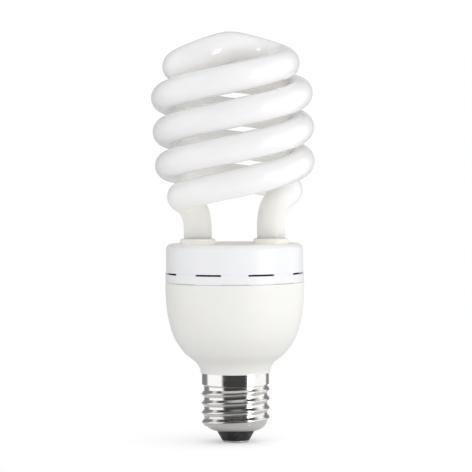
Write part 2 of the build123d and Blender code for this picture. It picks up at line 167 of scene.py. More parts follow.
class NodeGraph:
    """A node tree that is filled by one method."""

    def __init__(self, tree: bpy.types.NodeTree) -> None:
        """Empties a tree.

        Args:
            tree: The tree of a material or a world.
        """
        tree.nodes.clear()
        self.tree = tree

    def add(
        self, kind: str, settings: dict | None = None, sockets: dict | None = None
    ) -> bpy.types.Node:
        """Adds a node.

        Args:
            kind: The node's type.
            settings: Its properties.
            sockets: Input names or numbers, with the values or outputs that they take.

        Returns:
            The new node.
        """
        node = self.tree.nodes.new(kind)
        for name, value in (settings or {}).items():
            setattr(node, name, value)
        for name, value in (sockets or {}).items():
            source = value.socket if isinstance(value, Reading) else value
            if isinstance(source, bpy.types.NodeSocket):
                self.tree.links.new(source, node.inputs[name])
            else:
                node.inputs[name].default_value = source
        return node

    def place(self, kind: str = "Object") -> bpy.types.NodeSocket:
        """Coordinates, the object's own ones unless another kind is asked for."""
        return self.add("ShaderNodeTexCoord").outputs[kind]

    def ray(self, kind: str) -> Reading:
        """Whether the ray is of a kind, such as Is Camera Ray."""
        return Reading(self, self.add("ShaderNodeLightPath").outputs[kind])

    def noise(self, size: float, detail: float, stretch: Triple = (1.0, 1.0, 1.0)) -> Reading:
        """A cloudy pattern in the object's coordinates.

        Args:
            size: How large a patch is, in metres.
            detail: How many finer layers it has.
            stretch: How much finer it is along each axis.

        Returns:
            A number around one half.
        """
        mapping = self.add("ShaderNodeMapping", None, {"Vector": self.place(), "Scale": stretch})
        node = self.add(
            "ShaderNodeTexNoise",
            None,
            {"Vector": mapping.outputs[0], "Scale": 1.0 / size, "Detail": detail},
        )
        return Reading(self, node.outputs["Fac"])

    def axis(self, letter: str) -> Reading:
        """One of the object's coordinates, in metres.

        Args:
            letter: X, Y or Z.

        Returns:
            That coordinate.
        """
        split = self.add("ShaderNodeSeparateXYZ", None, {0: self.place()})
        return Reading(self, split.outputs[letter])

    def tint(
        self, share: Term, low: Union[Colour, bpy.types.NodeSocket], high: Colour
    ) -> bpy.types.NodeSocket:
        """A blend of two colours.

        Args:
            share: 0 for the first colour and 1 for the second.
            low: The first colour, plain or already made by nodes.
            high: The second colour.

        Returns:
            The blended colour.
        """
        first = low if isinstance(low, bpy.types.NodeSocket) else (*low, 1.0)
        node = self.add(
            "ShaderNodeMix",
            {"data_type": "RGBA", "clamp_factor": True},
            {0: share, 6: first, 7: (*high, 1.0)},
        )
        return node.outputs[2]

    def bump(self, height: Term, depth: float) -> bpy.types.NodeSocket:
        """Small relief.

        Args:
            height: The relief, around 0 to 1.
            depth: What a height of 1 is in metres.

        Returns:
            The normal that the relief gives.
        """
        sockets = {"Strength": 1.0, "Distance": depth, "Height": height}
        return self.add("ShaderNodeBump", None, sockets).outputs[0]

    def finish(self, shader: bpy.types.Node) -> None:
        """Sends a shader to the material's output."""
        self.add("ShaderNodeOutputMaterial", None, {"Surface": shader.outputs[0]})


# Finishes


@dataclass(frozen=True)
class Finish:
    """A named finish that makes its own material."""

    name: str

    def material(self) -> bpy.types.Material:
        """Makes the material.

        Returns:
            A new material with this finish's nodes.
        """
        made = bpy.data.materials.new(self.name)
        made.use_nodes = True
        graph = NodeGraph(made.node_tree)
        graph.finish(self.shade(graph))
        return made

    def shade(self, graph: NodeGraph) -> bpy.types.Node:
        """Adds the nodes of this finish.

        Args:
            graph: The material's graph.

        Returns:
            The shader that the material shows.
        """
        raise NotImplementedError


@dataclass(frozen=True)
class MouldedPlastic(Finish):
    """Opaque moulded plastic with faint clouds of colour and a fine eroded texture."""

    colour: Colour
    cloud_colour: Colour
    roughness: float
    roughness_spread: float = 0.08
    cloud_size: float = 18 * MM
    cloud_span: Span = (0.35, 0.65)
    grain_size: float = 0.35 * MM
    grain_depth: float = 0.008 * MM
    specular: float = 0.5

    def shade(self, graph: NodeGraph) -> bpy.types.Node:
        """Adds the nodes of this finish.

        Args:
            graph: The material's graph.

        Returns:
            The shader that the material shows.
        """
        grain = graph.noise(self.grain_size, detail=1.0)
        return graph.add(
            "ShaderNodeBsdfPrincipled",
            None,
            {
                "Base Color": self.pigment(graph),
                "Roughness": self.roughness + self.roughness_spread * (grain - 0.5),
                "Specular IOR Level": self.specular,
                "Normal": graph.bump(grain, self.grain_depth),
            },
        )

    def pigment(self, graph: NodeGraph) -> bpy.types.NodeSocket:
        """The clouded colour."""
        clouds = graph.noise(self.cloud_size, detail=3.0).rising(self.cloud_span)
        return graph.tint(clouds, self.colour, self.cloud_colour)


@dataclass(frozen=True)
class BowlPlastic(MouldedPlastic):
    """The bowl's plastic, with painted shade on the snap tongues, which are white plastic in the
    dark of the closed housing.
    """

    # Painted shade: a near-black colour for the tongues, which are really white plastic.
    tongue_painted_shade: Colour = (0.10, 0.092, 0.082)
    tongue_feet: Span = (62.6 * MM, 62.8 * MM)

    def pigment(self, graph: NodeGraph) -> bpy.types.NodeSocket:
        """The clouded colour, with painted shade on the tongues behind the cap's slots."""
        # Painted shade: the bowl is painted near-black above the tongues' feet, for the shade
        # behind the cap's slots.
        tongues = graph.axis("Z").rising(self.tongue_feet)
        return graph.tint(tongues, super().pigment(graph), self.tongue_painted_shade)


@dataclass(frozen=True)
class CapPlastic(MouldedPlastic):
    """The cap's plastic, with painted light on its roof and collars, which are painted lighter and
    more ivory than the wall.
    """

    # Painted light: a lighter, more ivory colour for the roof and collars, making up for the
    # coil's shade on them.
    roof_painted_light: Colour = (0.975, 0.970, 0.930)
    roof_edge: Span = (75.7 * MM, 76.3 * MM)

    def pigment(self, graph: NodeGraph) -> bpy.types.NodeSocket:
        """The clouded colour, with painted light above the wall, where it is lighter and more
        ivory.
        """
        # Painted light: the roof and collars are painted lighter than the cap's wall.
        roof = graph.axis("Z").rising(self.roof_edge)
        return graph.tint(roof, super().pigment(graph), self.roof_painted_light)


@dataclass(frozen=True)
class PhosphorGlass(Finish):
    """Clear glass over a coat of white phosphor that is a little uneven.

    The coat is painted brighter and warmer on the inside of the coil, as painted light for the
    light that crosses from turn to turn. On the legs it is painted greyer as painted shade, and it
    has less of the glass coat there, so it is duller. The distance from the coil's leaning axis is
    measured at each height.
    """

    colour: Colour = (0.866, 0.856, 0.864)
    thin_colour: Colour = (0.842, 0.830, 0.844)
    # Painted light inside the coil and painted shade on the legs.
    inner_painted_light: Colour = (0.990, 0.972, 0.945)
    leg_painted_shade: Colour = (0.830, 0.814, 0.785)
    inner_radii: Span = (23.5 * MM, 27.5 * MM)
    inner_tops: Span = (144 * MM, 149 * MM)
    leg_tops: Span = (88 * MM, 98 * MM)
    leg_dullness: float = 0.8
    axis_foot: float = 80 * MM
    axis_shift: float = 1.35 * MM
    axis_slope: float = 0.038
    glow_depth: float = 14 * MM
    glow_reach: Triple = (1.0, 0.9, 0.8)
    powder_roughness: float = 0.75
    powder_spread: float = 0.1
    powder_specular: float = 0.1
    glass_roughness: float = 0.04
    glass_ior: float = 1.5
    patch_size: float = 14 * MM
    patch_stretch: Triple = (1.0, 1.0, 1.6)
    patch_span: Span = (0.4, 0.7)
    ripple_size: float = 6 * MM
    ripple_depth: float = 0.04 * MM

    def shade(self, graph: NodeGraph) -> bpy.types.Node:
        """Adds the nodes of this finish.

        Args:
            graph: The material's graph.

        Returns:
            The shader that the material shows.
        """
        patches = graph.noise(self.patch_size, 3.0, self.patch_stretch).rising(self.patch_span)
        height = graph.axis("Z")
        lean = (height - self.axis_foot) * self.axis_slope
        radius = (graph.axis("X") - self.axis_shift + lean).distance(graph.axis("Y") + lean)
        inner = radius.falling(self.inner_radii) * height.falling(self.inner_tops)
        leg = height.falling(self.leg_tops)
        colour = graph.tint(patches, self.colour, self.thin_colour)
        # Painted light: the coat inside the coil is painted brighter and warmer.
        colour = graph.tint(inner, colour, self.inner_painted_light)
        # Painted shade: the coat on the legs is painted greyer.
        colour = graph.tint(leg, colour, self.leg_painted_shade)
        ripple = graph.noise(self.ripple_size, detail=1.0)
        return graph.add(
            "ShaderNodeBsdfPrincipled",
            None,
            {
                "Base Color": colour,
                "Roughness": self.powder_roughness + self.powder_spread * (patches - 0.5),
                "Specular IOR Level": self.powder_specular,
                "Subsurface Weight": 1.0,
                "Subsurface Radius": self.glow_reach,
                "Subsurface Scale": self.glow_depth,
                "Coat Weight": 1.0 - self.leg_dullness * leg,
                "Coat Roughness": self.glass_roughness,
                "Coat IOR": self.glass_ior,
                "Normal": graph.bump(ripple, self.ripple_depth),
            },
        )


@dataclass(frozen=True)
class PlatedMetal(Finish):
    """Rolled and plated sheet with fine turning lines and a few dull patches."""

    colour: Colour
    dull_colour: Colour
    roughness: float
    dull_roughness: float
    patch_size: float = 4 * MM
    patch_span: Span = (0.5, 0.75)
    patch_share: float = 0.7
    line_size: float = 0.3 * MM
    line_stretch: Triple = (0.05, 0.05, 1.0)
    line_depth: float = 0.0015 * MM

    def shade(self, graph: NodeGraph) -> bpy.types.Node:
        """Adds the nodes of this finish.

        Args:
            graph: The material's graph.

        Returns:
            The shader that the material shows.
        """
        patches = graph.noise(self.patch_size, detail=3.0).rising(self.patch_span)
        lines = graph.noise(self.line_size, 2.0, self.line_stretch)
        dullness = self.patch_share * patches + (1 - self.patch_share) * lines
        return graph.add(
            "ShaderNodeBsdfPrincipled",
            None,
            {
                "Base Color": graph.tint(patches, self.colour, self.dull_colour),
                "Metallic": 1.0,
                "Roughness": self.roughness + (self.dull_roughness - self.roughness) * dullness,
                "Normal": graph.bump(lines, self.line_depth),
            },
        )


@dataclass(frozen=True)
class VitrifiedGlass(Finish):
    """Fired black glass with a soft gloss, small pits and a faint grey bloom."""

    colour: Colour = (0.016, 0.016, 0.017)
    bloom_colour: Colour = (0.045, 0.045, 0.047)
    bloom_size: float = 3 * MM
    bloom_span: Span = (0.4, 0.7)
    bloom_roughness: float = 0.15
    roughness: float = 0.32
    pit_size: float = 0.6 * MM
    pit_span: Span = (0.55, 0.75)
    pit_depth: float = 0.03 * MM

    def shade(self, graph: NodeGraph) -> bpy.types.Node:
        """Adds the nodes of this finish.

        Args:
            graph: The material's graph.

        Returns:
            The shader that the material shows.
        """
        bloom = graph.noise(self.bloom_size, detail=3.0).rising(self.bloom_span)
        pits = graph.noise(self.pit_size, detail=2.0).rising(self.pit_span)
        return graph.add(
            "ShaderNodeBsdfPrincipled",
            None,
            {
                "Base Color": graph.tint(bloom, self.colour, self.bloom_colour),
                "Roughness": self.roughness + self.bloom_roughness * bloom,
                "Normal": graph.bump(1.0 - pits, self.pit_depth),
            },
        )


@dataclass(frozen=True)
class WoundWire(Finish):
    """Enamelled copper wire wound in close layers, with painted shade in the grooves between
    turns.
    """

    colour: Colour = (0.42, 0.16, 0.06)
    groove_painted_shade: Colour = (0.16, 0.05, 0.02)
    wire_pitch: float = 0.4 * MM
    metallic: float = 0.8
    roughness: float = 0.45
    crown_polish: float = 0.15

    def shade(self, graph: NodeGraph) -> bpy.types.Node:
        """Adds the nodes of this finish.

        Args:
            graph: The material's graph.

        Returns:
            The shader that the material shows.
        """
        phase = graph.axis("Z") * (2 * pi / self.wire_pitch)
        crown = phase.sine() * 0.5 + 0.5
        return graph.add(
            "ShaderNodeBsdfPrincipled",
            None,
            {
                # Painted shade: the colour darkens towards the grooves between turns.
                "Base Color": graph.tint(crown, self.groove_painted_shade, self.colour),
                "Metallic": self.metallic,
                "Roughness": self.roughness - self.crown_polish * crown,
                "Normal": graph.bump(crown, self.wire_pitch / 2),
            },
        )


NICKEL_PLATE = PlatedMetal("nickel_plate", (0.80, 0.79, 0.775), (0.70, 0.685, 0.66), 0.10, 0.24)
TINNED_METAL = PlatedMetal("tinned_metal", (0.74, 0.74, 0.73), (0.60, 0.60, 0.59), 0.28, 0.45)
PIN_STEEL = PlatedMetal("pin_steel", (0.62, 0.61, 0.60), (0.50, 0.49, 0.48), 0.30, 0.42)
BLACK_GLASS = VitrifiedGlass("black_glass")
PHOSPHOR_GLASS = PhosphorGlass("phosphor_glass")
WINDING = WoundWire("winding_copper")
BOWL_PLASTIC = BowlPlastic("bowl_plastic", (0.884, 0.878, 0.853), (0.870, 0.864, 0.838), 0.52)
CAP_PLASTIC = CapPlastic(
    "cap_plastic",
    (0.880, 0.885, 0.905),
    (0.868, 0.874, 0.897),
    roughness=0.34,
    grain_depth=0.004 * MM,
    specular=0.35,
)
CEMENT = MouldedPlastic(
    "lamp_cement", (0.72, 0.68, 0.60), (0.62, 0.58, 0.50), 0.9, grain_depth=0.04 * MM
)
LAMINATE = MouldedPlastic("board_laminate", (0.36, 0.21, 0.08), (0.30, 0.17, 0.06), 0.55)
SHRINK_SLEEVE = MouldedPlastic("capacitor_sleeve", (0.012, 0.016, 0.03), (0.02, 0.024, 0.04), 0.3)
FERRITE = MouldedPlastic("ferrite", (0.03, 0.03, 0.032), (0.045, 0.045, 0.046), 0.6)
BLACK_RESIN = MouldedPlastic("black_resin", (0.012, 0.012, 0.013), (0.02, 0.02, 0.021), 0.5)
RED_DIP = MouldedPlastic("red_dip", (0.28, 0.02, 0.01), (0.22, 0.015, 0.008), 0.22)
GREEN_DIP = MouldedPlastic("green_dip", (0.02, 0.12, 0.03), (0.015, 0.09, 0.02), 0.25)
GREY_CEMENT_COAT = MouldedPlastic("grey_coat", (0.16, 0.26, 0.2), (0.13, 0.21, 0.16), 0.6)
BLUE_LACQUER = MouldedPlastic("blue_lacquer", (0.02, 0.05, 0.16), (0.015, 0.04, 0.13), 0.3)
WIRE_SLEEVE = MouldedPlastic("wire_sleeve", (0.7, 0.7, 0.66), (0.64, 0.64, 0.6), 0.35)


class Slot(Enum):
    """The record's material slots and the finish of each."""

    NICKEL_SHELL = ("nickel_shell", NICKEL_PLATE)
    TIN_CONTACT = ("tin_contact", TINNED_METAL)
    BLACK_GLASS = ("black_glass", BLACK_GLASS)
    BOWL_PLASTIC = ("bowl_plastic", BOWL_PLASTIC)
    CAP_PLASTIC = ("cap_plastic", CAP_PLASTIC)
    PHOSPHOR_GLASS = ("phosphor_glass", PHOSPHOR_GLASS)
    CEMENT = ("cement", CEMENT)
    BOARD_LAMINATE = ("board_laminate", LAMINATE)
    CAPACITOR_SLEEVE = ("capacitor_sleeve", SHRINK_SLEEVE)
    FERRITE = ("ferrite", FERRITE)
    BOBBIN_PLASTIC = ("bobbin_plastic", BLACK_RESIN)
    TRANSISTOR_RESIN = ("transistor_resin", BLACK_RESIN)
    DIODE_RESIN = ("diode_resin", BLACK_RESIN)
    FILM_DIP = ("film_dip", RED_DIP)
    START_DIP = ("start_dip", GREEN_DIP)
    RESISTOR_COAT = ("resistor_coat", GREY_CEMENT_COAT)
    THERMISTOR_COAT = ("thermistor_coat", BLUE_LACQUER)
    WIRE_SLEEVE = ("wire_sleeve", WIRE_SLEEVE)
    COPPER_WIRE = ("copper_wire", WINDING)
    LEAD_WIRE = ("lead_wire", TINNED_METAL)
    POST_STEEL = ("post_steel", PIN_STEEL)

    @property
    def label(self) -> str:
        """The slot's name in the record."""
        return self.value[0]

    @property
    def finish(self) -> Finish:
        """The finish that the slot is given."""
        return self.value[1]


class Wardrobe:
    """Makes each material once and puts it on the CAD nodes and the new pieces."""

    def __init__(self) -> None:
        """Starts with no materials."""
        self.materials: dict[str, bpy.types.Material] = {}

    def material(self, finish: Finish) -> bpy.types.Material:
        """The material of a finish, made when it is first asked for.

        Args:
            finish: The finish.

        Returns:
            Its material.
        """
        if finish.name not in self.materials:
            self.materials[finish.name] = finish.material()
        return self.materials[finish.name]

    def dress(self, piece: bpy.types.Object, finish: Finish) -> None:
        """Gives a piece a finish all over."""
        piece.data.materials.clear()
        piece.data.materials.append(self.material(finish))

    def dress_frame(self, record: dict) -> None:
        """Dresses every CAD node by the material slot that the record gives it.

        Args:
            record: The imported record.
        """
        finishes = {slot.label: slot.finish for slot in Slot}
        for part in record["subparts"]:
            node = frame["nodes"][part["node"]]
            self.dress(node, finishes[part["material_slot"]])
            log.info("%s wears %s", part["node"], part["material_slot"])


# Mesh helpers


def deselect() -> None:
    """Leaves nothing selected."""
    if bpy.context.object and bpy.context.object.mode != "OBJECT":
        bpy.ops.object.mode_set(mode="OBJECT")
    bpy.ops.object.select_all(action="DESELECT")


def only(piece: bpy.types.Object) -> None:
    """Selects one piece and makes it active.

    Args:
        piece: The piece.
    """
    deselect()
    piece.select_set(True)
    bpy.context.view_layer.objects.active = piece


def ease(share: float) -> float:
    """A step from 0 to 1 that starts and ends level."""
    share = min(max(share, 0.0), 1.0)
    return share * share * (3 - 2 * share)


def turned(
    section: list[Span], name: str, sweep: float, start: float, steps: int
) -> bpy.types.Object:
    """Turns a closed section round the cap's axis.

    Args:
        section: Radii and heights of the section's corners in millimetres, outside going up.
        name: The new piece's name.
        sweep: How far it is turned, in degrees, 360 for a whole ring.
        start: Where the turn begins, in degrees from +X.
        steps: How many steps the turn has.

    Returns:
        The turned piece.
    """
    deselect()
    ends = "NOTHING" if sweep >= 360.0 else "NGON"
    bpy.ops.mesh.primitive_circle_add(vertices=len(section), fill_type=ends, location=(0, 0, 0))
    piece = bpy.context.object
    piece.name = piece.data.name = name
    across, along = cos(radians(start)) * MM, sin(radians(start)) * MM
    for vertex, (radius, height) in zip(piece.data.vertices, section):
        vertex.co = (radius * across, radius * along, height * MM)
    bpy.ops.object.mode_set(mode="EDIT")
    bpy.ops.mesh.select_all(action="SELECT")
    bpy.ops.mesh.spin(
        steps=steps, angle=radians(sweep), center=(0, 0, 0), axis=(0, 0, 1), use_normal_flip=False
    )
    bpy.ops.mesh.select_all(action="SELECT")
    bpy.ops.mesh.remove_doubles(threshold=WELD)
    bpy.ops.mesh.normals_make_consistent(inside=False)
    bpy.ops.object.mode_set(mode="OBJECT")
    bpy.ops.object.shade_smooth_by_angle(angle=radians(CREASE_ANGLE))
    return piece


def ringed(piece: bpy.types.Object, count: int) -> list[bpy.types.Object]:
    """Copies a piece round the cap's axis at even angles, each copy with its own mesh.

    Args:
        piece: The first piece of the ring.
        count: How many pieces the ring has.

    Returns:
        The pieces, the first one included.
    """
    ring = [piece]
    for n in range(1, count):
        only(piece)
        bpy.ops.object.duplicate(linked=False)
        ring.append(bpy.context.object)
        ring[-1].data.transform(Matrix.Rotation(2 * pi * n / count, 4, "Z"))
    return ring


def joined(pieces: list[bpy.types.Object]) -> bpy.types.Object:
    """Joins pieces into the first of them.

    Args:
        pieces: Two pieces or more.

    Returns:
        The joined piece, with the first one's name.
    """
    only(pieces[0])
    for piece in pieces[1:]:
        piece.select_set(True)
    bpy.ops.object.join()
    return bpy.context.object


# The tube


@dataclass
class SpiralTube:
    """The glass tube: two legs, two strands of coil and the crossing at the top.

    The fields repeat the CAD model's driving dimensions, so the smooth tube lies on its solid.
    Its elbows are a little rounder, and at the crossing it is a little fatter and lower, so that
    no gap shows under the crossing. Angles are in degrees.
    """

    tube_radius: float = 5.4 * MM
    coil_radius: float = 25.65 * MM
    coil_pitch: float = 26.1 * MM
    coil_turns: int = 2
    first_height: float = 94.2 * MM
    first_angle: float = 36.0
    step_angle: float = 6.0
    foot_radius: float = 23.9 * MM
    foot_span: float = 200.0
    top_radius: float = 20.5 * MM
    top_span: float = 119.0
    top_drop: float = 0.85 * MM
    crossing_height: float = 152.45 * MM
    crossing_turn: float = 45.0
    crossing_fullness: float = 0.35
    crossing_squeeze: float = 1.18
    crossing_steps: int = 16
    swell: float = 0.8 * MM
    swell_lead: float = 3 * MM
    swell_span: float = 5 * MM
    leg_offset: float = 14.1 * MM
    leg_foot: float = 69.0 * MM
    knee_heights: dict[int, float] = field(default_factory=lambda: {-1: 91.7 * MM, 1: 92.3 * MM})
    knee_radius: float = 11.5 * MM
    elbow_run: float = 5.2 * MM
    elbow_radius: float = 6.3 * MM
    lean_pivot: float = 80.0 * MM
    lean_shift: float = 1.35 * MM
    lean_to_left: float = 2.1
    lean_to_front: float = 2.2
    bend_step: float = 7.5
    knot_step: float = 2.2 * MM
    curve_order: int = 4
    facets_along: int = 2
    facets_round: int = 12
    crease_angle: float = 40.0

    def __post_init__(self) -> None:
        """Works out the lean and the coil's top."""
        self.last_angle = 360.0 * self.coil_turns
        self.top_height = self.first_height + self.coil_turns * self.coil_pitch - self.top_drop
        self.lean = (
            Matrix.Translation((self.lean_shift, 0, self.lean_pivot))
            @ Matrix.Rotation(radians(self.lean_to_front), 4, "X")
            @ Matrix.Rotation(radians(-self.lean_to_left), 4, "Y")
            @ Matrix.Translation((0, 0, -self.lean_pivot))
        )

    def coil_point(self, angle: float) -> Vector:
        """Centre of the upright tube in one strand of the coil.

        Args:
            angle: How far round the coil from the strand's own leg, in degrees.

        Returns:
            The point, before the coil leans.
        """
        low = ease((self.first_angle + self.foot_span - angle) / self.foot_span)
        high = max((angle - self.last_angle + self.top_span) / self.top_span, 0)
        radius = self.coil_radius - (self.coil_radius - self.foot_radius) * low
        radius -= (self.coil_radius - self.top_radius) * ease(high)
        height = self.first_height + self.coil_pitch * angle / 360 - self.top_drop * high**2
        return Vector((radius * cos(radians(angle)), radius * sin(radians(angle)), height))

    def crossing_point(self, share: float) -> Vector:
        """Centre of the upright tube between the crossing and the coil's top.

        Args:
            share: 0 at the crossing and 1 at the coil's top.

        Returns:
            The point, before the coil leans.
        """
        angle = radians(self.last_angle + self.crossing_turn * (1 - share**2))
        radius = self.top_radius * sin(pi * share / 2) ** self.crossing_squeeze
        fall = self.crossing_fullness * share**2 + (1 - self.crossing_fullness) * ease(share)
        height = self.crossing_height - (self.crossing_height - self.top_height) * fall
        return Vector((radius * cos(angle), radius * sin(angle), height))

    def leaned(self, points: Iterable[Vector], side: int) -> list[Vector]:
        """Points of one strand, turned half round for the left one, in the leaning coil."""
        return [self.lean @ Vector((side * p.x, side * p.y, p.z)) for p in points]

    def strand(self, side: int) -> list[Vector]:
        """Points from a strand's foot to the crossing, without the crossing itself.

        Args:
            side: -1 for the left leg's strand and 1 for the right one's.

        Returns:
            The strand's points in the leaning coil.
        """
        count = round((self.last_angle - self.first_angle) / self.step_angle)
        angles = [self.first_angle + self.step_angle * n for n in range(count + 1)]
        points = [self.coil_point(angle) for angle in angles]
        steps = self.crossing_steps
        points += [self.crossing_point(n / steps) for n in range(steps - 1, 0, -1)]
        return self.leaned(points, side)

    def leg(self, side: int, start: Vector, heading: Vector) -> list[Vector]:
        """Points from a leg's foot to the foot of its strand.

        Args:
            side: -1 for the left leg and 1 for the right one.
            start: The foot of the strand.
            heading: The strand's direction there, away from the leg.

        Returns:
            The leg's points, with arcs at its knee and elbow.
        """
        foot = Vector((side * self.leg_offset, 0, self.leg_foot))
        knee = Vector((foot.x, 0, self.knee_heights[side]))
        elbow = start - heading * self.elbow_run
        points = [foot]
        points += self.bend(foot, knee, elbow, self.knee_radius)
        return points + self.bend(knee, elbow, start, self.elbow_radius)

    def bend(self, before: Vector, corner: Vector, after: Vector, radius: float) -> list[Vector]:
        """Points of the arc that rounds a corner.

        Args:
            before: A point on the run that comes in.
            corner: Where the two runs would meet.
            after: A point on the run that goes out.
            radius: The arc's radius.

        Returns:
            Points along the arc, both ends included.
        """
        incoming = (corner - before).normalized()
        outgoing = (after - corner).normalized()
        turn = incoming.angle(outgoing)
        axis = incoming.cross(outgoing).normalized()
        start = corner - incoming * radius * tan(turn / 2)
        centre = start + axis.cross(incoming) * radius
        count = max(2, round(turn / radians(self.bend_step)))
        spoke = start - centre
        turns = [Matrix.Rotation(turn * n / count, 3, axis) for n in range(count + 1)]
        return [centre + step @ spoke for step in turns]

    def evened(self, points: list[Vector]) -> list[Vector]:
        """The same line with its points at even steps, so that the curve keeps its bends round.

        Args:
            points: The line's points, at uneven steps.

        Returns:
            Points along the line, with the same first and last point.
        """
        lengths = [(b - a).length for a, b in zip(points, points[1:])]
        count = round(sum(lengths) / self.knot_step)
        step = sum(lengths) / count
        result, walked = [points[0]], 0.0
        for a, b, length in zip(points, points[1:], lengths):
            while len(result) < count and walked + length >= len(result) * step:
                result.append(a.lerp(b, (len(result) * step - walked) / length))
            walked += length
        return result + [points[-1]]

    def path(self) -> list[Vector]:
        """The tube's centre line.

        Returns:
            Points at even steps from the right leg's foot to the left leg's foot.
        """
        halves = {}
        for side in (1, -1):
            strand = self.strand(side)
            heading = (strand[1] - strand[0]).normalized()
            halves[side] = self.leg(side, strand[0], heading) + strand[1:]
        crossing = self.leaned([self.crossing_point(0)], 1)
        return self.evened(halves[1] + crossing + halves[-1][::-1])

    def swell_at(self, point: Vector) -> float:
        """How much wider than the rest the tube is at a point, most at the crossing."""
        return self.swell * ease((point.z - self.top_height + self.swell_lead) / self.swell_span)

    def build(self, wardrobe: Wardrobe) -> bpy.types.Object:
        """Makes the tube and dresses it.

        Args:
            wardrobe: The materials.

        Returns:
            The tube.
        """
        deselect()
        bpy.ops.curve.primitive_nurbs_path_add()
        tube = bpy.context.object
        tube.name = tube.data.name = "spiral_tube"
        curve = tube.data
        curve.splines.clear()
        points = self.path()
        spline = curve.splines.new("NURBS")
        spline.points.add(len(points) - 1)
        for knot, point in zip(spline.points, points):
            swell = self.swell_at(point)
            knot.co = (point.x, point.y, point.z - swell, 1.0)
            knot.radius = 1.0 + swell / self.tube_radius
        spline.order_u = self.curve_order
        spline.use_endpoint_u = True
        spline.resolution_u = self.facets_along
        curve.bevel_depth = self.tube_radius
        curve.bevel_resolution = self.facets_round
        curve.use_fill_caps = True
        only(tube)
        bpy.ops.object.convert(target="MESH")
        bpy.ops.object.shade_smooth_by_angle(angle=radians(self.crease_angle))
        wardrobe.dress(tube, PHOSPHOR_GLASS)
        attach(tube, "root")
        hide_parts("glass_tube")
        log.info("%s: %d faces", tube.name, len(tube.data.polygons))
        return tube


# The bowl


